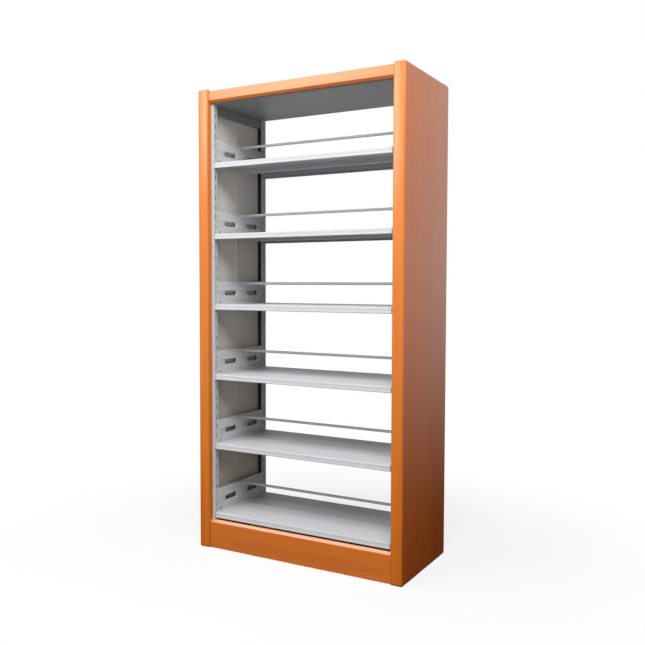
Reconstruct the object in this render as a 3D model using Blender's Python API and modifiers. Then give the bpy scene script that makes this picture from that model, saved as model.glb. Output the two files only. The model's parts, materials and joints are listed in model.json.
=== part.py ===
"""Double-faced library bookcase of wood and folded steel, at its real size.

X runs along the width, -Y is the front face and +Z is up. The origin is on the floor, in the middle of
the case. A piece that repeats on the other side is a copy turned half a turn about the upright axis.
"""

import math

import bmesh
import bpy
from mathutils import Matrix, Vector

# Overall size
HEIGHT = 2.050
WIDTH = 1.000
DEPTH = 0.470

# Clearances
SEAT_GAP = 0.0003
SLIDE_GAP = 0.0005

# Wood end panels
PANEL_THICKNESS = 0.052
PANEL_EDGE_RADIUS = 0.008
POCKET_DEPTH = 0.022

# Wood top rails and plinths
RAIL_SETBACK = 0.010
RAIL_THICKNESS = 0.018
RAIL_BEVEL = 0.010
TOP_RAIL_DROP = 0.008
TOP_RAIL_HEIGHT = 0.050
PLINTH_HEIGHT = 0.126

# Folded steel
FRAME_SHEET = 0.002
BOARD_SHEET = 0.0012
BEND_RADIUS = 0.0018

# Side frames
UPRIGHT_PROUD = 0.012
UPRIGHT_DEPTH = 0.032
SIDE_SHEET_SETBACK = 0.021
SIDE_SHEET_FLANGE = 0.010
CROSS_RAIL_SETBACK = 0.004
CROSS_RAIL_HEIGHT = 0.040

# Top box and base beams
TOP_BOX_REVEAL = 0.005
TOP_BOX_HEIGHT = 0.044
BEAM_MARGIN = 0.020
BEAM_FLANGE = 0.030

# Bolts that hold the end panels
BOLT_RADIUS = 0.003
BOLT_HEAD_RADIUS = 0.007
BOLT_HEAD_HEIGHT = 0.004
BOLT_GRIP = 0.020

# Shelf levels and the slots they hang in
LEVELS = 6
TOP_TIER_CLEARANCE = 0.240
PLINTH_GAP = 0.005
SLOT_PITCH = 0.045
SLOT_WIDTH = 0.006
SLOT_PLAY = 0.003
SLOT_TOP_MARGIN = 0.045

# Hanging brackets
BRACKET_SETBACK = 0.024
BRACKET_HEIGHT = 0.104
BRACKET_CORNER_RADIUS = 0.006
BRACKET_TOE = 0.001
HOOKS_PER_EDGE = 2
HOOK_RISE = 0.027
HOOK_NECK = 0.009
HOOK_LENGTH = 0.005
HOOK_PLAY = 0.0007
HOOK_EAR_MARGIN = 0.001
HOOK_EAR_FLARE = 0.002
SHELF_LIFT = 0.010
HOOK_RELEASE = 0.002
LEDGE_WIDTH = 0.030
LEDGE_CLEARANCE = 0.004
GRIP_HOLE_LENGTH = 0.087
GRIP_HOLE_HEIGHT = 0.024
GRIP_HOLE_OFFSET = 0.0874
GRIP_HOLE_RISE = 0.050
LOCK_HOLE_RADIUS = 0.003
LOCK_HOLE_INSET = 0.018
LOCK_HOLE_RISE = 0.010

# Shelf boards
BOARD_LIP = 0.025
BOARD_FRONT_RETURN = 0.014
BOARD_REAR_RETURN = 0.010
BOARD_GAP = 0.002

# Book stop bars
ROD_RADIUS = 0.006
ROD_PLAY = 0.0003
ROD_COVER = 0.0037
ROD_PROTRUSION = 0.006

# Roundness of the mesh
ARC_STEPS = 3
HOLE_STEPS = 8
ROD_SIDES = 16
BOLT_SIDES = 12

# Places that follow from the sizes above; those along X and Y are distances from the middle of the case
PANEL_INNER = WIDTH / 2 - PANEL_THICKNESS
POCKET_FLOOR = PANEL_INNER + POCKET_DEPTH
STEEL_OUTER = POCKET_FLOOR - SEAT_GAP
UPRIGHT_INNER = PANEL_INNER - UPRIGHT_PROUD
RAIL_FACE = DEPTH / 2 - RAIL_SETBACK
STEEL_FACE = RAIL_FACE - RAIL_THICKNESS - SEAT_GAP
INFILL_EDGE = STEEL_FACE - UPRIGHT_DEPTH - SEAT_GAP
TOP_RAIL_TOP = HEIGHT - TOP_RAIL_DROP
CEILING = TOP_RAIL_TOP - TOP_RAIL_HEIGHT - TOP_BOX_REVEAL
UPRIGHT_TOP = CEILING - SEAT_GAP
BOTTOM_SHELF = PLINTH_HEIGHT + PLINTH_GAP + BOARD_LIP
CROSS_RAIL_INNER = UPRIGHT_INNER + CROSS_RAIL_SETBACK
UPPER_RAIL_BOTTOM = UPRIGHT_TOP - CROSS_RAIL_HEIGHT
LOWER_RAIL_TOP = BEAM_MARGIN + CROSS_RAIL_HEIGHT
SLOT_LINE = STEEL_FACE - UPRIGHT_DEPTH / 2
SLOT_HEIGHT = HOOK_NECK + SHELF_LIFT + SLOT_PLAY
FIRST_SLOT = BOTTOM_SHELF + HOOK_RISE
BRACKET_OUTER = UPRIGHT_INNER - SLIDE_GAP
BRACKET_INNER = BRACKET_OUTER - FRAME_SHEET
BRACKET_EDGE = STEEL_FACE - BRACKET_SETBACK
LEDGE_TOP = -BOARD_SHEET - SEAT_GAP
BOARD_END = BRACKET_INNER - SLIDE_GAP
ROD_RISE = BRACKET_HEIGHT - ROD_COVER - ROD_PLAY - ROD_RADIUS

# The levels are as far apart as a whole number of slots allows below the least top tier
SHELF_SPAN = CEILING - TOP_TIER_CLEARANCE - BOTTOM_SHELF
SLOTS_PER_LEVEL = math.floor(SHELF_SPAN / ((LEVELS - 1) * SLOT_PITCH))
SLOT_COUNT = math.floor((UPRIGHT_TOP - SLOT_TOP_MARGIN - FIRST_SLOT) / SLOT_PITCH) + 1

HALF_TURN = math.pi


def clear_scene():
    """Remove every object that the scene starts with."""
    for item in list(bpy.data.objects):
        bpy.data.objects.remove(item, do_unlink=True)


def new_collection(name):
    """Return a new collection linked to the scene."""
    collection = bpy.data.collections.new(name)
    bpy.context.scene.collection.children.link(collection)
    return collection


def new_material(name, color, roughness, metallic):
    """Return a Principled material of one colour."""
    material = bpy.data.materials.new(name)
    material.use_nodes = True
    shader = material.node_tree.nodes["Principled BSDF"]
    shader.inputs["Base Color"].default_value = (*color, 1.0)
    shader.inputs["Roughness"].default_value = roughness
    shader.inputs["Metallic"].default_value = metallic
    material.diffuse_color = (*color, 1.0)
    return material


def add_mesh(name, bm, collection):
    """Turn a bmesh into an object of the collection."""
    mesh = bpy.data.meshes.new(name)
    bm.to_mesh(mesh)
    bm.free()
    item = bpy.data.objects.new(name, mesh)
    collection.objects.link(item)
    return item


def cube_between(bm, low, high):
    """Add a box between two corners to a bmesh."""
    low, high = Vector(low), Vector(high)
    place = Matrix.Translation((low + high) / 2) @ Matrix.Diagonal((*(high - low), 1.0))
    bmesh.ops.create_cube(bm, size=1.0, matrix=place)


def add_box(name, low, high, collection):
    """Add a box object between two corners."""
    bm = bmesh.new()
    cube_between(bm, low, high)
    return add_mesh(name, bm, collection)


def add_bar(name, start, length, radius, sides, collection):
    """Add a round bar that runs along +X from its start."""
    bm = bmesh.new()
    turn = Matrix.Rotation(math.pi / 2, 4, "Y")
    place = Matrix.Translation(Vector(start) + Vector((length / 2, 0, 0))) @ turn
    ends = {"radius1": radius, "radius2": radius, "cap_ends": True}
    bmesh.ops.create_cone(bm, segments=sides, depth=length, matrix=place, **ends)
    return add_mesh(name, bm, collection)


def arc_points(centre, radius, start, end, steps):
    """Return the points of an arc between two angles."""
    angles = [start + (end - start) * step / steps for step in range(steps + 1)]
    return [(centre[0] + radius * math.cos(a), centre[1] + radius * math.sin(a)) for a in angles]


def rounded_path(corners, radius, closed=False):
    """Return a path whose corners are replaced by arcs of one radius."""
    points = []
    count = len(corners)
    for index, corner in enumerate(corners):
        corner = Vector(corner)
        if not closed and index in (0, count - 1):
            points.append(corner)
            continue
        before = (Vector(corners[index - 1]) - corner).normalized()
        after = (Vector(corners[(index + 1) % count]) - corner).normalized()
        half_angle = before.angle(after) / 2
        centre = corner + (before + after).normalized() * radius / math.sin(half_angle)
        first = (corner + before * radius / math.tan(half_angle) - centre).normalized()
        last = (corner + after * radius / math.tan(half_angle) - centre).normalized()
        points += [centre + first.slerp(last, step / ARC_STEPS) * radius for step in range(ARC_STEPS + 1)]
    return points


def drawn_verts(drawn):
    """Return the vertices that an extrusion has made."""
    return [item for item in drawn["geom"] if isinstance(item, bmesh.types.BMVert)]


def folded_sheet(name, corners, run, plane, thickness, collection, closed=False):
    """Fold a sheet along a path in a plane ("XY" or "YZ") and draw it out along the third axis.

    The path is the outer skin, and the sheet's thickness lies on the left of its direction.
    """
    start, end = run
    path = rounded_path(corners, BEND_RADIUS + thickness, closed)
    if plane == "XY":
        points = [Vector((point.x, point.y, start)) for point in path]
        draw = Vector((0, 0, end - start))
    else:
        points = [Vector((start, point.x, point.y)) for point in path]
        draw = Vector((end - start, 0, 0))
    bm = bmesh.new()
    verts = [bm.verts.new(point) for point in points]
    following = verts[1:] + verts[:1] if closed else verts[1:]
    edges = [bm.edges.new(pair) for pair in zip(verts, following)]
    drawn = bmesh.ops.extrude_edge_only(bm, edges=edges)
    bmesh.ops.translate(bm, verts=drawn_verts(drawn), vec=draw)
    item = add_mesh(name, bm, collection)
    solidify = item.modifiers.new("sheet", "SOLIDIFY")
    solidify.thickness = thickness
    solidify.offset = -1.0
    solidify.use_even_offset = True
    return item


def flat_plate(name, outlines, thickness, collection):
    """Fill outlines in the YZ plane, the later ones as holes, to a plate centred on X = 0."""
    curve = bpy.data.curves.new(name, "CURVE")
    curve.dimensions = "2D"
    curve.fill_mode = "BOTH"
    curve.extrude = thickness / 2
    for outline in outlines:
        spline = curve.splines.new("POLY")
        spline.points.add(len(outline) - 1)
        for point, place in zip(spline.points, outline):
            point.co = (place[0], place[1], 0.0, 1.0)
        spline.use_cyclic_u = True
    drawn = bpy.data.objects.new(name + "_outline", curve)
    collection.objects.link(drawn)
    bm = bmesh.new()
    bm.from_mesh(evaluated_mesh(drawn))
    bpy.data.objects.remove(drawn, do_unlink=True)
    bmesh.ops.remove_doubles(bm, verts=bm.verts, dist=0.00001)
    stand_up = Matrix(((0, 0, 1, 0), (1, 0, 0, 0), (0, 1, 0, 0), (0, 0, 0, 1)))
    bm.transform(stand_up)
    bmesh.ops.recalc_face_normals(bm, faces=bm.faces)
    return add_mesh(name, bm, collection)


def evaluated_mesh(item):
    """Return a new mesh of an object with its modifiers applied."""
    bpy.context.view_layer.update()
    graph = bpy.context.evaluated_depsgraph_get()
    return bpy.data.meshes.new_from_object(item.evaluated_get(graph))


def settle(item):
    """Apply an object's modifiers, so that its copies can share the mesh."""
    item.data = evaluated_mesh(item)
    item.modifiers.clear()


def combine(item, operation, tool):
    """Join a tool to an object or cut it out, and put the tool away."""
    change = item.modifiers.new(tool.name, "BOOLEAN")
    change.operation = operation
    change.object = tool
    change.solver = "EXACT"
    tool.hide_render = True
    tool.display_type = "WIRE"


def finish(item, material, smooth=False):
    """Settle the mesh of a piece and give it its material."""
    settle(item)
    item.data.materials.clear()
    item.data.materials.append(material)
    if smooth:
        item.data.shade_smooth()
        item.data.set_sharp_from_angle(angle=math.radians(35))
    return item


def place_under(item, parent):
    """Parent a piece to an empty, in the empty's own coordinates."""
    item.parent = parent


def turned_copy(item, name):
    """Return a copy of a piece turned half a turn about the upright axis."""
    copy = item.copy()
    copy.name = name
    copy.rotation_euler.z += HALF_TURN
    item.users_collection[0].objects.link(copy)
    return copy


def bevel_long_edges(item, size, wanted):
    """Bevel the edges along X whose middle passes a test."""
    bm = bmesh.new()
    bm.from_mesh(item.data)
    edges = []
    for edge in bm.edges:
        first, last = (vert.co for vert in edge.verts)
        if abs(first.x - last.x) > size and wanted((first + last) / 2):
            edges.append(edge)
    bmesh.ops.bevel(bm, geom=edges, offset=size, segments=1, affect="EDGES")
    bm.to_mesh(item.data)
    bm.free()


def bolt_heights():
    """Return the heights of the bolts, at the middle of the lower and upper cross rail."""
    half = CROSS_RAIL_HEIGHT / 2
    return {"lower": BEAM_MARGIN + half, "upper": UPPER_RAIL_BOTTOM + half}


def make_end_panels(parts, cutters, wood):
    """Wood ends: a board outside, and lippings that close a pocket for the steel side frame."""
    half_depth = DEPTH / 2
    pocket_half = STEEL_FACE + SEAT_GAP
    pocket_top = UPRIGHT_TOP + SEAT_GAP
    seam = POCKET_FLOOR - SEAT_GAP
    overrun = PANEL_THICKNESS
    inside, outside = PANEL_INNER - overrun, WIDTH / 2 + overrun
    reach = half_depth + overrun
    below, above = -overrun, HEIGHT + overrun
    top_half = pocket_half - SEAT_GAP
    shares = {
        ("right_end_panel", "left_end_panel"): ((POCKET_FLOOR, -reach, below), (outside, reach, above)),
        ("right_front_lipping", "left_rear_lipping"): ((inside, -reach, below), (seam, -pocket_half, above)),
        ("right_rear_lipping", "left_front_lipping"): ((inside, pocket_half, below), (seam, reach, above)),
        ("right_top_lipping", "left_top_lipping"): ((inside, -top_half, pocket_top), (seam, top_half, above)),
    }
    for (name, twin), (low, high) in shares.items():
        piece = add_box(name, (PANEL_INNER, -half_depth, 0), (WIDTH / 2, half_depth, HEIGHT), parts)
        rounding = piece.modifiers.new("rounded_edges", "BEVEL")
        rounding.width = PANEL_EDGE_RADIUS
        rounding.segments = ARC_STEPS
        combine(piece, "INTERSECT", add_box(name + "_share", low, high, cutters))
        if name == "right_end_panel":
            drill_bolt_holes(piece, cutters)
        finish(piece, wood, smooth=True)
        turned_copy(piece, twin)


def drill_bolt_holes(panel, cutters):
    """Drill the blind holes that the bolts of the cross rails go into."""
    for label, height in bolt_heights().items():
        start = (PANEL_INNER, 0, height)
        depth = POCKET_DEPTH + BOLT_GRIP + SEAT_GAP
        hole = add_bar(label + "_panel_hole", start, depth, BOLT_RADIUS + SEAT_GAP, BOLT_SIDES, cutters)
        combine(panel, "DIFFERENCE", hole)


def make_wood_rail(front_name, rear_name, bottom, top, bevel_on_top, parts, wood):
    """A rail between the end panels, bevelled on the outer edge next to the shelves, and its twin behind."""
    end = PANEL_INNER - SEAT_GAP
    rail = add_box(front_name, (-end, -RAIL_FACE, bottom), (end, -RAIL_FACE + RAIL_THICKNESS, top), parts)
    middle = Vector((0, RAIL_THICKNESS / 2 - RAIL_FACE, (bottom + top) / 2))

    def next_to_shelves(place):
        return place.y < middle.y and (place.z > middle.z) == bevel_on_top

    bevel_long_edges(rail, RAIL_BEVEL, next_to_shelves)
    finish(rail, wood)
    turned_copy(rail, rear_name)


def make_uprights(parts, cutters, steel):
    """Channels that open towards the wood, with a column of slots in the inner face."""
    outer, inner = STEEL_OUTER, UPRIGHT_INNER
    front, back = -STEEL_FACE, -STEEL_FACE + UPRIGHT_DEPTH
    corners = [(outer, front), (inner, front), (inner, back), (outer, back)]
    upright = folded_sheet("right_front_upright", corners, (0, UPRIGHT_TOP), "XY", FRAME_SHEET, parts)
    bm = bmesh.new()
    for index in range(SLOT_COUNT):
        height = FIRST_SLOT + index * SLOT_PITCH
        low = (inner - FRAME_SHEET, -SLOT_LINE - SLOT_WIDTH / 2, height - SLOT_HEIGHT / 2)
        high = (inner + 2 * FRAME_SHEET, -SLOT_LINE + SLOT_WIDTH / 2, height + SLOT_HEIGHT / 2)
        cube_between(bm, low, high)
    combine(upright, "DIFFERENCE", add_mesh("upright_slots", bm, cutters))
    finish(upright, steel)
    rear = upright.copy()
    rear.name = "right_rear_upright"
    rear.location.y = 2 * SLOT_LINE
    parts.objects.link(rear)
    turned_copy(upright, "left_rear_upright")
    left_front = turned_copy(rear, "left_front_upright")
    left_front.location.y = -2 * SLOT_LINE


def make_side_sheets(parts, steel):
    """Thin sheets between the uprights, with edges folded towards the wood."""
    inner = UPRIGHT_INNER + SIDE_SHEET_SETBACK
    outer = inner + SIDE_SHEET_FLANGE
    edge = INFILL_EDGE
    corners = [(outer, -edge), (inner, -edge), (inner, edge), (outer, edge)]
    run = (LOWER_RAIL_TOP + SEAT_GAP, UPPER_RAIL_BOTTOM - SEAT_GAP)
    sheet = folded_sheet("right_side_sheet", corners, run, "XY", BOARD_SHEET, parts)
    finish(sheet, steel)
    turned_copy(sheet, "left_side_sheet")


def make_cross_rails(parts, cutters, steel, zinc):
    """Channels between the uprights at the head and foot of each side frame, bolted to the wood."""
    for label, height in bolt_heights().items():
        half = CROSS_RAIL_HEIGHT / 2
        name = f"right_{label}_cross_rail"
        low = (CROSS_RAIL_INNER, -INFILL_EDGE, height - half)
        high = (STEEL_OUTER, INFILL_EDGE, height + half)
        rail = add_box(name, low, high, parts)
        inside_low = (CROSS_RAIL_INNER + FRAME_SHEET, -STEEL_FACE, height - half + FRAME_SHEET)
        inside_high = (POCKET_FLOOR + FRAME_SHEET, STEEL_FACE, height + half - FRAME_SHEET)
        combine(rail, "DIFFERENCE", add_box(name + "_inside", inside_low, inside_high, cutters))
        hole_start = (CROSS_RAIL_INNER - FRAME_SHEET, 0, height)
        hole_radius = BOLT_RADIUS + SEAT_GAP
        hole = add_bar(name + "_hole", hole_start, 3 * FRAME_SHEET, hole_radius, BOLT_SIDES, cutters)
        combine(rail, "DIFFERENCE", hole)
        finish(rail, steel)
        turned_copy(rail, f"left_{label}_cross_rail")
        make_bolt(label, height, parts, cutters, zinc)


def make_bolt(label, height, parts, cutters, zinc):
    """A bolt from the inside of a cross rail into the end panel."""
    seat = CROSS_RAIL_INNER - SEAT_GAP
    head_start = (seat - BOLT_HEAD_HEIGHT, 0, height)
    bolt = add_bar(f"right_{label}_bolt", head_start, BOLT_HEAD_HEIGHT, BOLT_HEAD_RADIUS, BOLT_SIDES, parts)
    shank_start = (seat - BOLT_HEAD_HEIGHT / 2, 0, height)
    shank_length = POCKET_FLOOR + BOLT_GRIP - shank_start[0]
    shank = add_bar(label + "_shank", shank_start, shank_length, BOLT_RADIUS, BOLT_SIDES, cutters)
    combine(bolt, "UNION", shank)
    finish(bolt, zinc, smooth=True)
    turned_copy(bolt, f"left_{label}_bolt")


def make_top_box(parts, steel):
    """A folded box that lies on the uprights and closes the case at the top."""
    face, bottom, top = STEEL_FACE, CEILING, CEILING + TOP_BOX_HEIGHT
    corners = [(-face, bottom), (-face, top), (face, top), (face, bottom)]
    end = PANEL_INNER - SEAT_GAP
    box = folded_sheet("top_box", corners, (-end, end), "YZ", BOARD_SHEET, parts, closed=True)
    finish(box, steel)


def make_base_beams(parts, steel):
    """Channels behind the plinths that tie the side frames together."""
    front, back = -STEEL_FACE, -STEEL_FACE + BEAM_FLANGE
    bottom, top = BEAM_MARGIN, PLINTH_HEIGHT - BEAM_MARGIN
    corners = [(back, bottom), (front, bottom), (front, top), (back, top)]
    end = UPRIGHT_INNER - SEAT_GAP
    beam = folded_sheet("front_base_beam", corners, (-end, end), "YZ", FRAME_SHEET, parts)
    finish(beam, steel)
    turned_copy(beam, "rear_base_beam")


def hook_heights():
    """Return the lower and upper edge of each hook's neck, above the shelf surface."""
    lows = []
    for index in range(HOOKS_PER_EDGE):
        lows.append(HOOK_RISE + index * SLOT_PITCH - SLOT_HEIGHT / 2 + SEAT_GAP)
    return [(low, low + HOOK_NECK) for low in lows]


def bracket_outline(bottom):
    """Return the outline of a bracket plate, with the ears that carry its hooks."""
    edge, top, radius = BRACKET_EDGE, BRACKET_HEIGHT, BRACKET_CORNER_RADIUS
    ear_end = SLOT_LINE + FRAME_SHEET / 2 + HOOK_EAR_MARGIN
    side = [(edge, bottom)]
    for low, high in hook_heights():
        ear_low, ear_high = low - HOOK_EAR_MARGIN, high + HOOK_EAR_MARGIN
        side += [(edge, ear_low - HOOK_EAR_FLARE), (ear_end, ear_low)]
        side += [(ear_end, ear_high), (edge, ear_high + HOOK_EAR_FLARE)]
    side += arc_points((edge - radius, top - radius), radius, 0, math.pi / 2, ARC_STEPS)
    return side + [(-y, z) for y, z in reversed(side)]


def long_hole(centre_y, centre_z):
    """Return the outline of a round-ended hole."""
    radius = GRIP_HOLE_HEIGHT / 2
    reach = GRIP_HOLE_LENGTH / 2 - radius
    right = arc_points((centre_y + reach, centre_z), radius, -math.pi / 2, math.pi / 2, HOLE_STEPS)
    left = arc_points((centre_y - reach, centre_z), radius, math.pi / 2, 1.5 * math.pi, HOLE_STEPS)
    return right + left


def round_hole(centre_y, centre_z, radius, steps):
    """Return the outline of a round hole."""
    return arc_points((centre_y, centre_z), radius, 0, 2 * math.pi, steps)[:-1]


def make_bracket(parts, cutters, steel):
    """A hanging plate with hooks on its front and rear edge and a ledge under each board."""
    ledge_bottom = LEDGE_TOP - FRAME_SHEET
    outlines = [bracket_outline(ledge_bottom - BRACKET_TOE)]
    for side in (-1, 1):
        outlines.append(long_hole(side * GRIP_HOLE_OFFSET, GRIP_HOLE_RISE))
        lock_y = side * (BRACKET_EDGE - LOCK_HOLE_INSET)
        outlines.append(round_hole(lock_y, LOCK_HOLE_RISE, LOCK_HOLE_RADIUS, HOLE_STEPS))
    outlines.append(round_hole(0, ROD_RISE, ROD_RADIUS + ROD_PLAY, ROD_SIDES))
    bracket = flat_plate("bracket", outlines, FRAME_SHEET, parts)
    bracket.data.transform(Matrix.Translation((BRACKET_INNER + FRAME_SHEET / 2, 0, 0)))
    ledge_end = min(BRACKET_EDGE, STEEL_FACE - BOARD_SHEET - BOARD_FRONT_RETURN) - LEDGE_CLEARANCE
    ledge_start = BOARD_GAP / 2 + BOARD_SHEET + BOARD_REAR_RETURN + LEDGE_CLEARANCE
    ledge_root = BRACKET_INNER + FRAME_SHEET / 2
    for side in (-1, 1):
        near, far = sorted((side * ledge_start, side * ledge_end))
        low = (BRACKET_INNER - LEDGE_WIDTH, near, ledge_bottom)
        high = (ledge_root, far, LEDGE_TOP)
        combine(bracket, "UNION", add_box(f"ledge_{side}", low, high, cutters))
        for index, (neck_low, neck_high) in enumerate(hook_heights()):
            hook = make_hook(f"hook_{side}_{index}", side * SLOT_LINE, neck_low, neck_high, cutters)
            combine(bracket, "UNION", hook)
    return finish(bracket, steel)


def make_hook(name, line, neck_low, neck_high, cutters):
    """A tab that passes through a slot and drops behind the sheet of the upright."""
    root = BRACKET_INNER + FRAME_SHEET / 2
    drop_start = UPRIGHT_INNER + FRAME_SHEET + HOOK_PLAY
    tip = drop_start + HOOK_LENGTH
    drop_low = neck_low - SHELF_LIFT + HOOK_RELEASE
    bm = bmesh.new()
    outline = [(root, neck_low), (drop_start, neck_low), (drop_start, drop_low), (tip, drop_low)]
    outline += [(tip, neck_high), (root, neck_high)]
    near = [bm.verts.new((x, line - FRAME_SHEET / 2, z)) for x, z in outline]
    face = bm.faces.new(near)
    drawn = bmesh.ops.extrude_face_region(bm, geom=[face])
    bmesh.ops.translate(bm, verts=drawn_verts(drawn), vec=(0, FRAME_SHEET, 0))
    bmesh.ops.recalc_face_normals(bm, faces=bm.faces)
    return add_mesh(name, bm, cutters)


def make_board(parts, steel):
    """A folded shelf board for the front half of a level."""
    front, back = -STEEL_FACE, -BOARD_GAP / 2
    bottom = -BOARD_LIP
    corners = [
        (front + BOARD_FRONT_RETURN, bottom),
        (front, bottom),
        (front, 0),
        (back, 0),
        (back, bottom),
        (back - BOARD_REAR_RETURN, bottom),
    ]
    board = folded_sheet("board", corners, (-BOARD_END, BOARD_END), "YZ", BOARD_SHEET, parts)
    return finish(board, steel)


def make_rod(parts, steel):
    """A round bar at mid depth that stops the books, held in both brackets."""
    end = BRACKET_OUTER + ROD_PROTRUSION
    rod = add_bar("rod", (-end, 0, ROD_RISE), 2 * end, ROD_RADIUS, ROD_SIDES, parts)
    return finish(rod, steel, smooth=True)


def make_levels(parts, cutters, case, steel, board_steel):
    """Hang one set of brackets, boards and book stop at every level."""
    bracket = make_bracket(parts, cutters, steel)
    board = make_board(parts, board_steel)
    rod = make_rod(parts, steel)
    patterns = {
        "right_bracket": (bracket, 0),
        "left_bracket": (bracket, HALF_TURN),
        "front_board": (board, 0),
        "rear_board": (board, HALF_TURN),
        "book_stop": (rod, 0),
    }
    for index in range(LEVELS):
        level = bpy.data.objects.new(f"level_{index + 1}", None)
        level.location.z = BOTTOM_SHELF + index * SLOTS_PER_LEVEL * SLOT_PITCH
        level.parent = case
        parts.objects.link(level)
        for name, (pattern, turn) in patterns.items():
            piece = bpy.data.objects.new(f"level_{index + 1}_{name}", pattern.data)
            piece.rotation_euler.z = turn
            parts.objects.link(piece)
            place_under(piece, level)
    for pattern in (bracket, board, rod):
        bpy.data.objects.remove(pattern, do_unlink=True)


def main():
    """Build the whole bookcase."""
    clear_scene()
    parts = new_collection("library_bookcase")
    cutters = new_collection("cutters")
    wood = new_material("cherry_wood", (0.72, 0.30, 0.10), 0.38, 0.0)
    steel = new_material("grey_powder_coat", (0.55, 0.56, 0.57), 0.45, 0.0)
    board_steel = new_material("pale_powder_coat", (0.72, 0.73, 0.74), 0.42, 0.0)
    zinc = new_material("zinc_bolt", (0.60, 0.60, 0.58), 0.35, 1.0)
    make_end_panels(parts, cutters, wood)
    rail_bottom = TOP_RAIL_TOP - TOP_RAIL_HEIGHT
    make_wood_rail("front_top_rail", "rear_top_rail", rail_bottom, TOP_RAIL_TOP, False, parts, wood)
    make_wood_rail("front_plinth", "rear_plinth", 0, PLINTH_HEIGHT, True, parts, wood)
    make_uprights(parts, cutters, steel)
    make_side_sheets(parts, steel)
    make_cross_rails(parts, cutters, steel, zinc)
    make_top_box(parts, steel)
    make_base_beams(parts, steel)
    case = bpy.data.objects.new("case", None)
    parts.objects.link(case)
    for piece in list(parts.objects):
        if piece is not case:
            place_under(piece, case)
    make_levels(parts, cutters, case, steel, board_steel)


main()
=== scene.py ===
"""Looks of a double-faced library bookcase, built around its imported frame.

The file is laid out as an add-on. Property groups hold the sizes, finishes and stage settings, one operator
makes each group of pieces, and main() calls the operators in order.
"""

import json
import math

import bmesh
import bpy
from bpy.props import FloatProperty, FloatVectorProperty, IntProperty, PointerProperty
from mathutils import Matrix, Vector

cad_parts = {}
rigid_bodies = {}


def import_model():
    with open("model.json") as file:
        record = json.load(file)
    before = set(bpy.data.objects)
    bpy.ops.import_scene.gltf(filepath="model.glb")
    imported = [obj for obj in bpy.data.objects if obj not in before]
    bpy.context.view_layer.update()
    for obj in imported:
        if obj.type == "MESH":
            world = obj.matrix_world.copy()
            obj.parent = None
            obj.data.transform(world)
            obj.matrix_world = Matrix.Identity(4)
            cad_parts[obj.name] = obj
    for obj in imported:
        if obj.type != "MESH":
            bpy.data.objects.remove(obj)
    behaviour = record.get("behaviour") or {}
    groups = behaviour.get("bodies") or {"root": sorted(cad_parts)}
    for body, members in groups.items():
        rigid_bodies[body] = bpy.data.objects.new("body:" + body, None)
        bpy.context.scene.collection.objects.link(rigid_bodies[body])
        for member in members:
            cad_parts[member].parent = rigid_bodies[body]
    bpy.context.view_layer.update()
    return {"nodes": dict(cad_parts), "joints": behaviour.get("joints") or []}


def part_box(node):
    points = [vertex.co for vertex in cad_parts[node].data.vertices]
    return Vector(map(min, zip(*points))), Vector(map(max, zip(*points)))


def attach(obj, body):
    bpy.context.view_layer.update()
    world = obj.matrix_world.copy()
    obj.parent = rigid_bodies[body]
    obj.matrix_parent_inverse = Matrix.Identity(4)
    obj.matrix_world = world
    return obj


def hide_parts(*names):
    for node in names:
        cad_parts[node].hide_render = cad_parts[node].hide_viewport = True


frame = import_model()

bl_info = {
    "name": "Library Bookcase",
    "version": (1, 0, 0),
    "blender": (4, 5, 0),
    "location": "3D View > Sidebar > Bookcase",
    "description": "Dresses the frame of a library bookcase in cherry veneer and powder-coated steel",
    "category": "Object",
}

SIDES = {"right": 1, "left": -1}
FACES = {"front": -1, "rear": 1}
HALF_TURN = Matrix.Rotation(math.pi, 4, "Z")
# Turns that bring a pattern, made for the right side or the front, to its place
TURNS = {"right": Matrix.Identity(4), "front": Matrix.Identity(4), "left": HALF_TURN, "rear": HALF_TURN}
PANEL_PARTS = ("end_panel", "front_lipping", "rear_lipping", "top_lipping")

# Places read from the frame
PANEL_LOW, PANEL_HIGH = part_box("right_front_lipping")[0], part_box("right_end_panel")[1]
UPRIGHT_LOW, UPRIGHT_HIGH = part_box("right_front_upright")
SHEET_LOW, SHEET_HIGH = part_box("right_side_sheet")
BOARD_LOW, BOARD_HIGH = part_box("level_1_front_board")
ROD_LOW, ROD_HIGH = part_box("level_1_book_stop")
ROD_RADIUS = (ROD_HIGH.y - ROD_LOW.y) / 2
SHELF = BOARD_HIGH.z
BRACKET_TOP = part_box("level_1_right_bracket")[1].z
PLINTH_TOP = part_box("front_plinth")[1].z
# Height of the shelf at each level
LEVELS = {
    joint["child"]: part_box(joint["child"] + "_front_board")[1].z
    for joint in frame["joints"]
    if joint["parent"] == "frame"
}

# Steps round the curves, and limits of the meshes
ARC_STEPS = 6
SLOT_STEPS = 4
GRIP_STEPS = 12
RIM_STEPS = 3
LOCK_SIDES = 16
PLUG_SIDES = 20
ROD_HOLE_SIDES = 24
ROD_SIDES = 32
MERGE_DISTANCE = 1e-6
MITRE_LIMIT = 2
SMOOTH_ANGLE = math.radians(32)
# Faces that differ by less than this are one face
FLAT_ANGLE = math.radians(0.1)
# A fillet that takes a whole side leaves edges of no length, so it stops short of half
NEARLY_HALF = 0.499
# Swaps the axes of a plate that is drawn in the XY plane, so that it stands in the YZ plane
STANDING = Matrix(((0, 0, 1, 0), (1, 0, 0, 0), (0, 1, 0, 0), (0, 0, 0, 1)))

# Slots that a bracket's hooks hang in, counted from the lowest one above its shelf
HOOK_STEPS = (0, 1)
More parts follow.
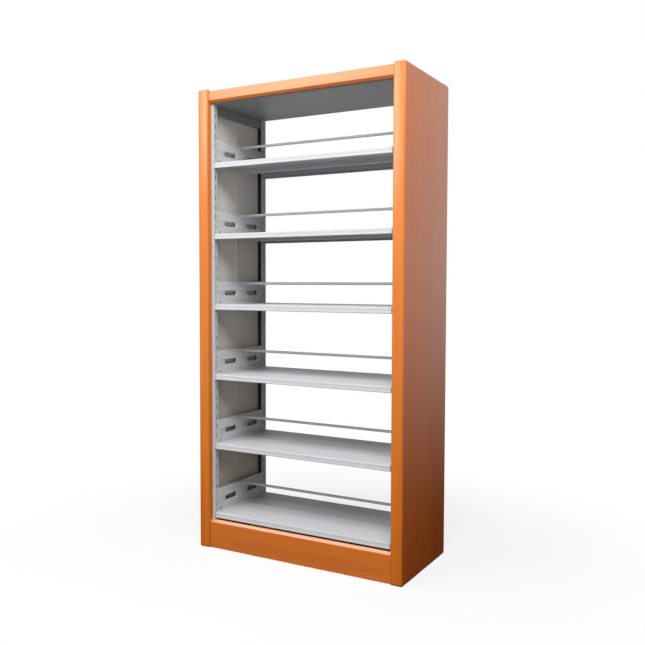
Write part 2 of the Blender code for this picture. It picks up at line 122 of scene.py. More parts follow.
# Lengths inside the brackets, boards and book stops
HOOK_NECK = 0.009
HOOK_EAR_MARGIN = 0.001
HOOK_EAR_FLARE = 0.002
HOOK_DROP = 0.008
HOOK_LENGTH = 0.005
HOOK_PLAY = 0.0007
LEDGE_WIDTH = 0.030
LEDGE_TOP = -0.0015
LEDGE_START = 0.0162
LEDGE_END = 0.1787
BRACKET_FOOT = -0.0045
CREASE_INSETS = (0.030, 0.112)
ROD_PLAY = 0.0003
ROD_NOSE = 0.0025
# Share of a rib's width that is its flat crest
RIB_CREST = 2 / 3
# Height and reach of a plug head's profile, as shares of its height and radius, from the rim to the dish
PLUG_HEAD = ((0.1, 1.0), (0.7, 0.93), (1.0, 0.75), (1.0, 0.42), (0.3, 0.28))

# Veneer: grains to the metre, the last number along the wood, and how much each shows
SWAY_GRAIN = (2.6, 2.6, 1.1)
BAND_GRAIN = (24, 24, 0.7)
LINE_GRAIN = (190, 190, 2.4)
PORE_GRAIN = (950, 950, 26)
PORE_LEVELS = (0.58, 0.70)
BAND_SWING = 1.4
LINE_SWING = 0.7
PORE_SHADE = 0.22
LINE_RELIEF = 0.5
PORE_RELIEF = 0.6
VENEER_ROUGHNESS = 0.45
LINE_ROUGHNESS = 0.16
PORE_ROUGHNESS = 0.10
LACQUER_IOR = 1.7
# Depths under the end panels' outer faces at which their own veneer starts and is full
FACE_START = 0.007
FACE_FULL = 0.001
FACE_CALM = 0.5
FACE_GLOSS = 0.24
MATT_SHARE = 0.9
# Height up to which the wood is painted darker, as shade
FOOT_SHADE_HEIGHT = 1.1
# Steps from the foot of the plinths' bevel between which the painted highlight starts
BEVEL_HIGHLIGHT_FADE = (-0.001, 0.002)

# Powder coats: grains to the metre, and how much each shows
CLOUD_GRAIN = (5, 5, 5)
PEEL_GRAIN = (620, 620, 620)
PALE_SHARE = 1.02
DEEP_SHARE = 0.97
STREAK_SWING = 0.6
COAT_ROUGHNESS = 0.50
CLOUD_ROUGHNESS = 0.14
STREAK_ROUGHNESS = 0.16
PEEL_ROUGHNESS = 0.08
# Height up to which the side sheets are painted darker, as shade
LOW_SHADE_HEIGHT = 1.6
# Steps past that depth over which the painted shade of the uprights' flanges fades to the coat
SHADED_DEPTH_FADE = (0.0003, 0.0012)
# Settings of each coat, with its streaks to the metre along each axis
COATS = {
    # A darker copy of the frame coat that paints the shade of the top box and cross rails
    "top_powder_coat": {"tone": "top_shaded_steel", "streaks": (1.2, 70, 70)},
    # A darker copy of the frame coat that paints the shade on the book stops under the shelves
    "rod_powder_coat": {"tone": "rod_shaded_steel", "streaks": (1.5, 160, 160)},
    "frame_powder_coat": {"tone": "frame_steel", "streaks": (70, 70, 1.2)},
    # The uprights' flanges next to the side sheets are painted dark, as shade
    "upright_powder_coat": {"tone": "frame_steel", "streaks": (70, 70, 1.2), "shaded_depth": -UPRIGHT_HIGH.y},
    # The side sheets carry painted shade low down
    "side_powder_coat": {"tone": "sheet_steel", "streaks": (60, 60, 0.8), "low_shade": "sheet_low_shade"},
    "board_powder_coat": {"tone": "board_steel", "streaks": (0.9, 110, 110)},
    # A greyer copy of the board coat that paints the shadow of the shelf above on the rear boards
    "rear_board_powder_coat": {"tone": "rear_board_shaded_steel", "streaks": (0.9, 110, 110)},
    # A dark coat that paints the shade inside the long holes and the uprights
    "flange_dark_coat": {"tone": "flange_shade_steel", "streaks": (40, 40, 40)},
}

# Zinc and plug plastic: grains to the metre, and how much each shows
TURNED_GRAIN = (60, 1400, 1400)
SPOT_GRAIN = (180, 180, 180)
SPOT_SHADE = 0.85
ZINC_ROUGHNESS = 0.30
TURNED_ROUGHNESS = 0.15
SPOT_ROUGHNESS = 0.10
SPARK_GRAIN = (2400, 2400, 2400)
SPARK_SHADES = (0.8, 1.3)
PLUG_ROUGHNESS = 0.45
SPARK_ROUGHNESS = 0.15

# Stage
WHITE = (1, 1, 1, 1)
# Width of the camera's sensor in millimetres
SENSOR_WIDTH = 36
FLOOR_DROP = 0.0005
# Distances from the middle of the case between which the floor turns white
FLOOR_FADE = (0.6, 1.8)
# The property of each lamp's power, its size, its place, the point it faces, and whether gloss mirrors it
LAMPS = {
    "key_lamp": ("key_power", (2.4, 2.0), (1.5, -2.6, 4.2), (0, -0.1, 0.9), True),
    "soft_box": ("soft_power", (1.8, 1.2), (-1.7, -3.1, 2.95), (0, -0.1, 1.5), True),
    "high_lamp": ("high_power", (2.6, 0.6), (-2.5, -1.8, 4.2), (-2.5, -1.8, 0), True),
    "side_lamp": ("side_power", (1.0, 1.0), (2.3, -0.6, 3.1), (0.5, 0, 1.6), True),
    # These two would glare in the lacquer of the end panels
    "front_lamp": ("front_power", (2.0, 2.0), (1.2, -4.2, 1.3), (0, 0, 1.1), False),
    "rear_lamp": ("rear_power", (1.2, 1.4), (-1.3, 7.4, 0.8), (0, 0, 1.0), False),
}


# Properties


def length(name, text, default):
    """Return a length property in metres."""
    return FloatProperty(name=name, description=text, default=default, unit="LENGTH", precision=4)


def share(name, text, default):
    """Return a property between none and all."""
    return FloatProperty(name=name, description=text, default=default, min=0, max=1, subtype="FACTOR")


def angle(name, text, degrees):
    """Return an angle property from its degrees."""
    return FloatProperty(name=name, description=text, default=math.radians(degrees), subtype="ANGLE")


def power(name, text, default):
    """Return a property of a lamp's power in watts."""
    return FloatProperty(name=name, description=text, default=default, unit="POWER")


def from_screen(*levels):
    """Return the linear colour of three screen levels from 0 to 255, by the sRGB curve."""
    parts = [level / 255 for level in levels]
    return tuple(part / 12.92 if part <= 0.04045 else ((part + 0.055) / 1.055) ** 2.4 for part in parts)


def colour(name, text, *levels):
    """Return a colour property from three screen levels."""
    return FloatVectorProperty(name=name, description=text, default=from_screen(*levels), subtype="COLOR")


class BookcaseSizes(bpy.types.PropertyGroup):
    """Sizes of the visible pieces"""

    panel_radius: length("Panel edge radius", "Rounding of the end panels' edges", 0.008)
    rail_bevel: length("Rail bevel", "Bevel of the rails and plinths beside the shelves", 0.010)
    rail_radius: length("Rail edge radius", "Rounding of the other edges of rails and plinths", 0.0015)
    seat_gap: length("Seat gap", "Play between the wood pocket and the steel in it", 0.0003)
    slide_gap: length("Slide gap", "Play between the uprights and the brackets", 0.0005)
    frame_sheet: length("Frame sheet", "Thickness of the steel of uprights and brackets", 0.002)
    thin_sheet: length("Thin sheet", "Thickness of the steel of boards and side sheets", 0.0012)
    upright_bend: length("Upright bend", "Radius of the uprights' corners at mid sheet", 0.0028)
    slot_width: length("Slot width", "Width of the slots in the uprights", 0.006)
    slot_height: length("Slot height", "Height of the slots in the uprights", 0.022)
    slot_corner: length("Slot corner", "Corner radius of the slots", 0.0022)
    slot_pitch: length("Slot pitch", "Distance from one slot to the next", 0.045)
    first_slot: length("First slot", "Height of the lowest slot's middle above the lowest shelf", 0.027)
    slot_count: IntProperty(name="Slots", description="Slots in each upright", default=40, min=1)
    rib_width: length("Rib width", "Width of the pressed rib in each side sheet", 0.030)
    rib_height: length("Rib height", "Height of the pressed rib in each side sheet", 0.0016)
    bracket_edge: length("Bracket edge", "Rounding of the bracket's cut edges", 0.0004)
    bracket_corner: length("Bracket corner", "Radius of the bracket's upper corners", 0.006)
    bracket_half: length("Bracket half depth", "Distance from the middle to the bracket's front edge", 0.1827)
    grip_length: length("Grip hole length", "Length of the long holes in the brackets", 0.087)
    grip_height: length("Grip hole height", "Height of the long holes in the brackets", 0.024)
    grip_offset: length("Grip hole offset", "Distance of the long holes from mid depth", 0.0874)
    grip_rise: length("Grip hole rise", "Height of the long holes above the shelf", 0.050)
    bead_radius: length("Bead radius", "Radius of the bead round each long hole at mid sheet", 0.00135)
    flange_wall: length("Flange wall", "Thickness of the drawn flange behind each long hole", 0.0014)
    flange_reach: length("Flange reach", "How far that flange stands out behind the bracket", 0.0065)
    lock_inset: length("Lock inset", "Distance of the lock plug behind the bracket's edge", 0.018)
    lock_rise: length("Lock rise", "Height of the lock plug above the shelf", 0.010)
    lock_radius: length("Lock radius", "Radius of the hole for the lock plug", 0.003)
    plug_radius: length("Plug radius", "Radius of the lock plug's head", 0.0044)
    plug_height: length("Plug height", "How far the lock plug stands out from the bracket", 0.0004)
    nose_radius: length("Board nose", "Radius of the board's upper front edge at mid sheet", 0.0042)
    board_bend: length("Board bend", "Radius of the board's other bends at mid sheet", 0.0022)
    hem_height: length("Hem height", "Height of the proud strip along the lower lip", 0.0075)
    hem_step: length("Hem step", "How far that strip's upper edge stands out from the lip", 0.0006)
    hem_flare: length("Hem flare", "How far its lower edge stands out from its upper edge", 0.0016)
    crease_depth: length("Crease depth", "Depth of the pressed lines along the board", 0.0006)
    crease_width: length("Crease width", "Width of the pressed lines along the board", 0.007)
    front_return: length("Front return", "Width of the fold under the board's front lip", 0.014)
    rear_return: length("Rear return", "Width of the fold under the board's rear lip", 0.010)


class BookcaseFinishes(bpy.types.PropertyGroup):
    """Colours of the finishes"""

    wood_light: colour("Light wood", "Pale bands of the veneer", 239, 141, 57)
    wood_dark: colour("Dark wood", "Dark bands of the veneer", 216, 116, 37)
    wood_pore: colour("Wood pores", "Short dark pores of the veneer", 140, 64, 20)
    # Painted highlight: a paler colour on the plinths' bevel
    wood_bare: colour("Bare wood", "Paler wood that the plinths' bevels cut open", 226, 172, 132)
    # Painted shade: a redder tint on the end panels' outer faces than on the lippings
    wood_face_shade: colour("Face tint", "Tint of the veneer on the end panels' outer faces", 254, 236, 246)
    # Painted shade: the wood turns darker towards the foot
    wood_foot_shade: colour("Foot tint", "Tint of the wood that has darkened at the foot", 249, 237, 218)
    # Painted shade: a darker grey than the frame coat, for the shaded top box and cross rails
    top_shaded_steel: colour("Top steel", "Powder coat of the top box and cross rails", 146, 146, 147)
    frame_steel: colour("Frame steel", "Powder coat of uprights, brackets and base beams", 214, 215, 217)
    # Painted shade: the book stops are darker than the frame coat
    rod_shaded_steel: colour("Rod steel", "Powder coat of the book stops", 184, 184, 186)
    sheet_steel: colour("Side steel", "Powder coat of the side sheets", 240, 236, 229)
    sheet_low_shade: colour("Side dust", "Tint of the side sheets where dust has settled low down", 206, 201, 193)
    # Painted shade: the side sheets are darker low down
    board_steel: colour("Board steel", "Powder coat of the front shelf boards", 208, 209, 212)
    # Painted shade: the rear boards are greyer, for the shadow of the shelf above
    rear_board_shaded_steel: colour("Rear board steel", "Greyer powder coat of the rear boards", 188, 189, 192)
    # Painted shade: the dark inside of the long holes and of the uprights
    flange_shade_steel: colour("Flange steel", "Dark undercoat behind long holes and in uprights", 52, 50, 46)
    bolt_steel: colour("Bolt steel", "Zinc of the bolts", 158, 158, 155)
    plug_black: colour("Plug", "Plastic of the lock plugs", 24, 24, 26)


class BookcaseStage(bpy.types.PropertyGroup):
    """Camera, lamps and floor"""

    eye: FloatVectorProperty(
        name="Camera place",
        description="Where the camera stands",
        default=(1.7077, -3.0168, 1.1905),
        subtype="XYZ_LENGTH",
    )
    azimuth: angle("Azimuth", "Turn of the camera to the right of the front", 29.4236)
    elevation: angle("Elevation", "How far the camera looks down", 2.7794)
    roll: angle("Roll", "Turn of the camera about its own axis", 0.1572)
    lens: FloatProperty(name="Lens", description="Focal length", default=43.54, unit="CAMERA")
    key_power: power("Key lamp", "Lamp above the front", 140)
    soft_power: power("Soft box", "Lamp at the front left", 58)
    high_power: power("High lamp", "Strip lamp high on the left", 52)
    front_power: power("Front lamp", "Lamp in front", 32)
    side_power: power("Side lamp", "Lamp at the right", 10)
    rear_power: power("Rear lamp", "Far lamp behind", 150)
    fill: share("Fill", "Strength of the light from all around", 0.02)
    floor_tone: share("Floor tone", "Reflectance of the floor as it is seen", 0.95)
    floor_bounce: share("Floor bounce", "Reflectance of the floor as it lights the bookcase", 0.08)
    floor_glow: share("Floor glow", "Share of plain white in the floor beside the bookcase", 0.8)
    floor_size: length("Floor size", "Side of the floor", 24.0)


def sizes():
    """Return the sizes of the scene."""
    return bpy.context.scene.bookcase_sizes


def finishes():
    """Return the finishes of the scene."""
    return bpy.context.scene.bookcase_finishes


# Node trees


class Wire:
    """An output socket. Arithmetic on it adds Math nodes to its tree."""

    def __init__(self, maker, socket):
        self.maker = maker
        self.socket = socket

    def __add__(self, other):
        return self.maker.math("ADD", self, other)

    def __sub__(self, other):
        return self.maker.math("SUBTRACT", self, other)

    def __rsub__(self, other):
        return self.maker.math("SUBTRACT", other, self)

    def __mul__(self, other):
        return self.maker.math("MULTIPLY", self, other)

    __radd__ = __add__
    __rmul__ = __mul__


class NodeMaker:
    """Adds nodes to a tree: settings first, then the values or links of the sockets."""

    def __init__(self, tree):
        self.tree = tree

    def feed(self, socket, value):
        """Link a wire to a socket, or set the socket's value."""
        if isinstance(value, Wire):
            self.tree.links.new(value.socket, socket)
        else:
            socket.default_value = value

    def add(self, kind, settings=None, sockets=None):
        """Add a node."""
        node = self.tree.nodes.new(kind)
        for name, value in (settings or {}).items():
            setattr(node, name, value)
        for key, value in (sockets or {}).items():
            self.feed(node.inputs[key], value)
        return node

    def node(self, kind, settings=None, sockets=None, output=0):
        """Add a node and return one of its outputs."""
        return Wire(self, self.add(kind, settings, sockets).outputs[output])

    def math(self, operation, *terms):
        """Add a Math node."""
        return self.node("ShaderNodeMath", {"operation": operation}, dict(enumerate(terms)))

    def vector_math(self, operation, *terms, output=0):
        """Add a Vector Math node."""
        return self.node("ShaderNodeVectorMath", {"operation": operation}, dict(enumerate(terms)), output)

    def place(self):
        """Return the object's own coordinates."""
        return self.node("ShaderNodeTexCoord", output="Object")

    def part(self, place, axis):
        """Return one of the three numbers of a place."""
        return self.node("ShaderNodeSeparateXYZ", {}, {0: place}, axis)

    def rise(self, value, low, high, bottom=0, top=1):
        """Return a smooth step from bottom, where the value is low, to top, where it is high."""
        sockets = {0: value, 1: low, 2: high, 3: bottom, 4: top}
        return self.node("ShaderNodeMapRange", {"interpolation_type": "SMOOTHSTEP"}, sockets)

    def mix(self, factor, first, second, blend="MIX"):
        """Mix two colours, each a wire or three numbers."""
        first, second = (item if isinstance(item, Wire) else (*item, 1) for item in (first, second))
        settings = {"data_type": "RGBA", "blend_type": blend}
        # Inputs 6 and 7 and output 2 of a Mix node are its colours
        return self.node("ShaderNodeMix", settings, {0: factor, 6: first, 7: second}, 2)


class Finish(NodeMaker):
    """A Principled material in the making."""

    def __init__(self, name, constants):
        self.material = bpy.data.materials.new(name)
        self.material.use_nodes = True
        super().__init__(self.material.node_tree)
        self.shader = self.tree.nodes["Principled BSDF"]
        for socket, value in constants.items():
            self.shader.inputs[socket].default_value = value

    def drive(self, socket, value):
        """Feed a socket of the shader."""
        self.feed(self.shader.inputs[socket], value)

    def noise(self, place, grain, detail, output=0):
        """Return noise with as many grains to the metre as given along each axis."""
        scaled = self.vector_math("MULTIPLY", place, grain)
        return self.node("ShaderNodeTexNoise", {}, {"Vector": scaled, "Scale": 1, "Detail": detail}, output)

    def bump(self, height, strength, distance):
        """Feed a bump to the shader's normal."""
        sockets = {"Height": height, "Strength": strength, "Distance": distance}
        self.drive("Normal", self.node("ShaderNodeBump", {}, sockets))


class Recipe(NodeMaker):
    """A geometry node tree in the making, with a Material as its last input."""

    def __init__(self, name, inputs):
        super().__init__(bpy.data.node_groups.new(name, "GeometryNodeTree"))
        face = self.tree.interface
        face.new_socket("Geometry", in_out="INPUT", socket_type="NodeSocketGeometry")
        for label, kind in {**inputs, "Material": "Material"}.items():
            face.new_socket(label, in_out="INPUT", socket_type="NodeSocket" + kind)
        face.new_socket("Geometry", in_out="OUTPUT", socket_type="NodeSocketGeometry")
        self.start = self.add("NodeGroupInput")

    def given(self, label):
        """Return one of the tree's inputs."""
        return Wire(self, self.start.outputs[label])

    def rounded_outline(self, width, height, radius, steps):
        """Return the outline of a rectangle with rounded corners."""
        sides = {"Width": width, "Height": height}
        sharp = self.node("GeometryNodeCurvePrimitiveQuadrilateral", {}, sides)
        rounding = {"Curve": sharp, "Count": steps, "Radius": radius}
        return self.node("GeometryNodeFilletCurve", {"mode": "POLY"}, rounding)

    def end(self, geometry):
        """Close the tree with plain geometry and its material."""
        plain = self.node("GeometryNodeRealizeInstances", {}, {0: geometry})
        sockets = {"Geometry": plain, "Material": self.given("Material")}
        self.add("NodeGroupOutput", {}, {0: self.node("GeometryNodeSetMaterial", {}, sockets)})
        return self.tree

    def end_spread(self, item):
        """Close the tree with an item at each point, turned to face away from the case's middle."""
        across = self.part(self.node("GeometryNodeInputPosition"), "X")
        turn = self.node("ShaderNodeCombineXYZ", {}, {2: self.math("LESS_THAN", across, 0) * math.pi})
        spots = {"Points": self.given("Geometry"), "Instance": item, "Rotation": turn}
        return self.end(self.node("GeometryNodeInstanceOnPoints", {}, spots))


# Meshes


def loose_object(name, data):
    """Return a new object in the scene."""
    item = bpy.data.objects.new(name, data)
    bpy.context.scene.collection.objects.link(item)
    return item


def plain_mesh(item):
    """Return an object's evaluated mesh and remove the object."""
    bpy.context.view_layer.update()
    graph = bpy.context.evaluated_depsgraph_get()
    mesh = bpy.data.meshes.new_from_object(item.evaluated_get(graph))
    item.modifiers.clear()
    bpy.data.objects.remove(item)
    return mesh


def smooth(mesh):
    """Shade a mesh smooth, apart from its sharp edges."""
    mesh.shade_smooth()
    mesh.set_sharp_from_angle(angle=SMOOTH_ANGLE)
    return mesh


def grow(name, mesh, tree, values):
    """Run a geometry tree on a mesh and return the result as a plain mesh."""
    carrier = loose_object(name + "_carrier", mesh)
    modifier = carrier.modifiers.new(name, "NODES")
    modifier.node_group = tree
    for socket in tree.interface.items_tree:
        if socket.in_out == "INPUT" and socket.name in values:
            modifier[socket.identifier] = values[socket.name]
    return smooth(plain_mesh(carrier))


def mesh_of(name, bm):
    """Turn a bmesh into a mesh that is smooth over its bends."""
    bmesh.ops.remove_doubles(bm, verts=bm.verts, dist=MERGE_DISTANCE)
    bmesh.ops.recalc_face_normals(bm, faces=bm.faces)
    mesh = bpy.data.meshes.new(name)
    bm.to_mesh(mesh)
    bm.free()
    return smooth(mesh)


def moved(mesh, place):
    """Return a copy of a mesh, turned and shifted by a matrix."""
    copy = mesh.copy()
    copy.transform(place)
    return copy


def raised(rise):
    """Return a shift straight up."""
    return Matrix.Translation((0, 0, rise))


def arc(centre, radius, start, end, steps):
    """Return the points of an arc between two angles."""
    angles = [start + (end - start) * step / steps for step in range(steps + 1)]
    return [(centre[0] + radius * math.cos(a), centre[1] + radius * math.sin(a)) for a in angles]


def circle(centre, radius, sides):
    """Return the points of a circle."""
    return arc(centre, radius, 0, 2 * math.pi, sides)[:-1]


def rounded_path(corners, closed=False):
    """Return a path through (across, up, radius) corners, with an arc at each that has a radius."""
    points = []
    count = len(corners)
    for index, (across, up, radius) in enumerate(corners):
        corner = Vector((across, up))
        at_end = not closed and index in (0, count - 1)
        if at_end or radius == 0:
            points.append(corner)
            continue
        before = (Vector(corners[index - 1][:2]) - corner).normalized()
        after = (Vector(corners[(index + 1) % count][:2]) - corner).normalized()
        half_angle = before.angle(after) / 2
        centre = corner + (before + after).normalized() * radius / math.sin(half_angle)
        reach = radius / math.tan(half_angle)
        first = (corner + before * reach - centre).normalized()
        last = (corner + after * reach - centre).normalized()
        points += [centre + first.slerp(last, step / ARC_STEPS) * radius for step in range(ARC_STEPS + 1)]
    return points


def skins(path, thickness):
    """Return the two faces of a sheet whose middle follows a path."""
    near, far = [], []
    for index, point in enumerate(path):
        ahead = path[min(index + 1, len(path) - 1)]
        behind = path[max(index - 1, 0)]
        steps = (ahead - point, point - behind)
        ways = [step.normalized() for step in steps if step.length > MERGE_DISTANCE]
        along = sum(ways, Vector((0, 0))).normalized()
        side = Vector((-along.y, along.x))
        stretch = 1 / max(1 / MITRE_LIMIT, along.dot(ways[0]))
        near.append(point + side * thickness / 2 * stretch)
        far.append(point - side * thickness / 2 * stretch)
    return near, far


def lift(point, plane, run):
    """Return a 3D point from a point in the XY or YZ plane and its place along the third axis."""
    if plane == "XY":
        return (point.x, point.y, run)
    return (run, point.x, point.y)


def folded_sheet(name, corners, thickness, plane, start, end):
    """Fold a sheet along a path at its middle and draw it out along the third axis."""
    near, far = skins(rounded_path(corners), thickness)
    bm = bmesh.new()
    rows = []
    for run in (start, end):
        rows.append([[bm.verts.new(lift(point, plane, run)) for point in skin] for skin in (near, far)])
    (near_a, far_a), (near_b, far_b) = rows
    for here in range(len(near) - 1):
        there = here + 1
        bm.faces.new((near_a[here], near_a[there], near_b[there], near_b[here]))
        bm.faces.new((far_a[there], far_a[here], far_b[here], far_b[there]))
        bm.faces.new((near_a[there], near_a[here], far_a[here], far_a[there]))
        bm.faces.new((near_b[here], near_b[there], far_b[there], far_b[here]))
    for tip in (0, -1):
        bm.faces.new((near_a[tip], near_b[tip], far_b[tip], far_a[tip]))
    return mesh_of(name, bm)


def close_rings(bm, rings):
    """Close rings of vertices to a solid, with faces from each ring to the next and a cap at each end."""
    bm.faces.new(rings[0])
    bm.faces.new(reversed(rings[-1]))
    for first, second in zip(rings, rings[1:]):
        for side in range(len(first)):
            after = (side + 1) % len(first)
            bm.faces.new((first[side], second[side], second[after], first[after]))


def drawn_bar(name, corners, start, end):
    """Draw a closed section in the YZ plane out along X."""
    path = rounded_path(corners, closed=True)
    bm = bmesh.new()
    close_rings(bm, [[bm.verts.new((run, point.x, point.y)) for point in path] for run in (start, end)])
    return mesh_of(name, bm)


def turned_bar(name, half, sides):
    """Turn a bar about the X axis from the (along, radius) stations of its right half."""
    stations = [(-along, radius) for along, radius in reversed(half)] + half
    bm = bmesh.new()
    rings = [
        [bm.verts.new((along, *spot)) for spot in circle((0, 0), radius, sides)] for along, radius in stations
    ]
    close_rings(bm, rings)
    return mesh_of(name, bm)


def add_block(bm, low, high, radius=0.0, steps=2):
    """Add a box between two corners to a bmesh, with rounded edges if a radius is given."""
    low, high = Vector(low), Vector(high)
    place = Matrix.Translation((low + high) / 2) @ Matrix.Diagonal((*(high - low), 1))
    made = bmesh.ops.create_cube(bm, size=1, matrix=place)
    if radius:
        edges = list({edge for vert in made["verts"] for edge in vert.link_edges})
        bmesh.ops.bevel(bm, geom=edges, offset=radius, segments=steps, profile=0.5, affect="EDGES")


def block(name, *settings):
    """Return a box as a mesh of its own."""
    bm = bmesh.new()
    add_block(bm, *settings)
    return mesh_of(name, bm)


def combined(mesh, operation, tool):
    """Return a mesh joined with another, or cut by it."""
    item = loose_object(mesh.name + "_body", mesh)
    other = loose_object(mesh.name + "_tool", tool)
    change = item.modifiers.new(operation, "BOOLEAN")
    change.operation = operation
    change.object = other
    change.solver = "EXACT"
    made = plain_mesh(item)
    bpy.data.objects.remove(other)
    bm = bmesh.new()
    bm.from_mesh(made)
    bmesh.ops.remove_doubles(bm, verts=bm.verts, dist=MERGE_DISTANCE)
    bmesh.ops.dissolve_limit(bm, angle_limit=FLAT_ANGLE, verts=bm.verts, edges=bm.edges)
    bm.to_mesh(made)
    bm.free()
    return smooth(made)


def flat_plate(name, outlines, thickness, edge):
    """Fill outlines, the later ones as holes, to a plate with rounded edges in the YZ plane at X = 0."""
    drawing = bpy.data.curves.new(name, "CURVE")
    drawing.dimensions = "2D"
    drawing.fill_mode = "BOTH"
    drawing.extrude = thickness / 2 - edge
    drawing.bevel_depth = edge
    drawing.bevel_resolution = 1
    drawing.offset = -edge
    for outline in outlines:
        spline = drawing.splines.new("POLY")
        spline.points.add(len(outline) - 1)
        for point, spot in zip(spline.points, outline):
            point.co = (*spot, 0, 1)
        spline.use_cyclic_u = True
    bm = bmesh.new()
    bm.from_mesh(plain_mesh(loose_object(name, drawing)))
    bm.transform(STANDING)
    return mesh_of(name, bm)


def make_piece(name, mesh, finish, slot, body, *nodes):
    """Turn a mesh into a piece that rides on a body and stands for CAD nodes."""
    mesh.name = name
    mesh.materials.clear()
    mesh.materials.append(finish)
    piece = loose_object(name, mesh)
    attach(piece, body)
    if nodes:
        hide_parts(*nodes)


def dress_node(node, finish):
    """Give a CAD node that stays a finish."""
    item = frame["nodes"][node]
    item.data.materials.clear()
    item.data.materials.append(finish)


# Finishes


def finish_named(name, maker, **settings):
    """Return a material, made at its first use."""
    return bpy.data.materials.get(name) or maker(name, **settings)


def swing(noise, reach):
    """Return noise about 0, with a reach between its ends."""
    return (noise - 0.5) * reach


def cherry_finish(name, turn, sway, gloss, lacquer, bare=0):
    """Lacquered cherry veneer, with bands, fine lines and short pores along the grain.

    The gloss goes from one share to another between two heights, each pair given as (height, share). The last
    argument is the share of a paler colour, a painted highlight, above those heights.
    """
    tones = finishes()
    finish = Finish(name, {"Specular IOR Level": 0, "Coat Roughness": lacquer, "Coat IOR": LACQUER_IOR})
    place = finish.place()
    grain = finish.node("ShaderNodeMapping", {}, {"Vector": place, "Rotation": turn})
    waves = finish.noise(grain, SWAY_GRAIN, detail=1, output=1)
    bent = finish.vector_math("MULTIPLY_ADD", waves, (sway, sway, 0), grain)
    bands = finish.noise(bent, BAND_GRAIN, detail=3)
    lines = finish.noise(bent, LINE_GRAIN, detail=2)
    pores = finish.rise(finish.noise(bent, PORE_GRAIN, detail=1), *PORE_LEVELS)
    # The outer faces have a calmer figure and more gloss than the lippings, and a redder tint that is painted
    # shade; the wood is also painted darker towards the foot, as shade
    across, height = (finish.part(place, axis) for axis in "XZ")
    edge = PANEL_HIGH.x
    face = finish.rise(finish.math("ABSOLUTE", across), edge - FACE_START, edge - FACE_FULL)
    foot = 1 - finish.rise(height, 0, FOOT_SHADE_HEIGHT)
    # The left outer face has little gloss, or it would mirror the soft box to a viewer behind the case
    matt = 1 - finish.rise(across, FACE_FULL - edge, FACE_START - edge)
    figure = 0.5 + (swing(bands, BAND_SWING) + swing(lines, LINE_SWING)) * (1 - face * FACE_CALM)
    veneer = finish.mix(figure, tones.wood_dark, tones.wood_light)
    veneer = finish.mix(pores * PORE_SHADE, veneer, tones.wood_pore)
    # Painted shade: the redder tint of the outer faces
    veneer = finish.mix(face, veneer, tones.wood_face_shade, "MULTIPLY")
    # Painted shade: the veneer darkens towards the foot
    veneer = finish.mix(foot, veneer, tones.wood_foot_shade, "MULTIPLY")
    (low, dull), (high, bright) = gloss
    above = finish.rise(height, low, high)
    shine = dull + above * (bright - dull + face * FACE_GLOSS)
    # Painted highlight on the plinths' bevel
    finish.drive("Base Color", finish.mix(above * bare, veneer, tones.wood_bare))
    finish.drive("Roughness", VENEER_ROUGHNESS + swing(lines, LINE_ROUGHNESS) + pores * PORE_ROUGHNESS)
    finish.drive("Coat Weight", shine * (1 - matt * MATT_SHARE))
    finish.bump(lines * LINE_RELIEF - pores * PORE_RELIEF, strength=0.10, distance=0.0003)
    return finish.material


def upright_cherry():
    """Return veneer with its grain upright, dulled towards the foot."""
    settings = {"turn": (0, 0, 0), "sway": 0.05, "gloss": ((0.1, 0.03), (1.4, 0.60)), "lacquer": 0.28}
    return finish_named("cherry_upright_grain", cherry_finish, **settings)


def level_cherry(name, **settings):
    """Return veneer with its grain along the case."""
    return finish_named(name, cherry_finish, turn=(0, math.pi / 2, 0), sway=0.07, **settings)


def rail_cherry():
    """Return the evenly glossy veneer of the top rails."""
    return level_cherry("cherry_level_grain", gloss=((0, 0.6), (1, 0.6)), lacquer=0.28)


def plinth_cherry():
    """Return the veneer of the plinths, with a paler colour on the bevel that is a painted highlight."""
    start, end = (PLINTH_TOP - sizes().rail_bevel + step for step in BEVEL_HIGHLIGHT_FADE)
    return level_cherry("cherry_plinth_grain", gloss=((start, 0.22), (end, 0.45)), lacquer=0.2, bare=0.6)


def coat_finish(name, tone, streaks, low_shade=None, shaded_depth=None):
    """Satin powder coat, with fine orange peel, slow clouds and streaks.

    Tone names the coat's colour among the finishes; the next argument names the colour of a painted shade
    that darkens the coat towards the foot.
    The depth given last is the depth from the middle of the case up to which faces take only the dark colour
    that paints the shade inside the uprights.
    """
    tones = finishes()
    finish = Finish(name, {"Specular IOR Level": 0.15})
    place = finish.place()
    clouds = finish.noise(place, CLOUD_GRAIN, detail=3)
    drawn = finish.noise(place, streaks, detail=2)
    peel = finish.noise(place, PEEL_GRAIN, detail=2)
    deep, pale = (Vector(getattr(tones, tone)) * level for level in (DEEP_SHARE, PALE_SHARE))
    coat = finish.mix(clouds + swing(drawn, STREAK_SWING), deep, pale)
    if low_shade:
        # Painted shade that darkens the coat towards the foot
        painted_low_shade = 1 - finish.rise(finish.part(place, "Z"), 0, LOW_SHADE_HEIGHT)
        coat = finish.mix(painted_low_shade, coat, getattr(tones, low_shade), "MULTIPLY")
    # Painted shade on the faces nearer the middle than the given depth
    if shaded_depth:
        depth = finish.math("ABSOLUTE", finish.part(place, "Y"))
        unshaded = finish.rise(depth, *(shaded_depth + step for step in SHADED_DEPTH_FADE))
        coat = finish.mix(unshaded, tones.flange_shade_steel, coat)
    finish.drive("Base Color", coat)
    wear = swing(clouds, CLOUD_ROUGHNESS) + swing(drawn, STREAK_ROUGHNESS) + swing(peel, PEEL_ROUGHNESS)
    finish.drive("Roughness", COAT_ROUGHNESS + wear)
    finish.bump(peel, strength=0.08, distance=0.0004)
    return finish.material


def steel_coat(name):
    """Return one of the powder coats."""
    return finish_named(name, coat_finish, **COATS[name])


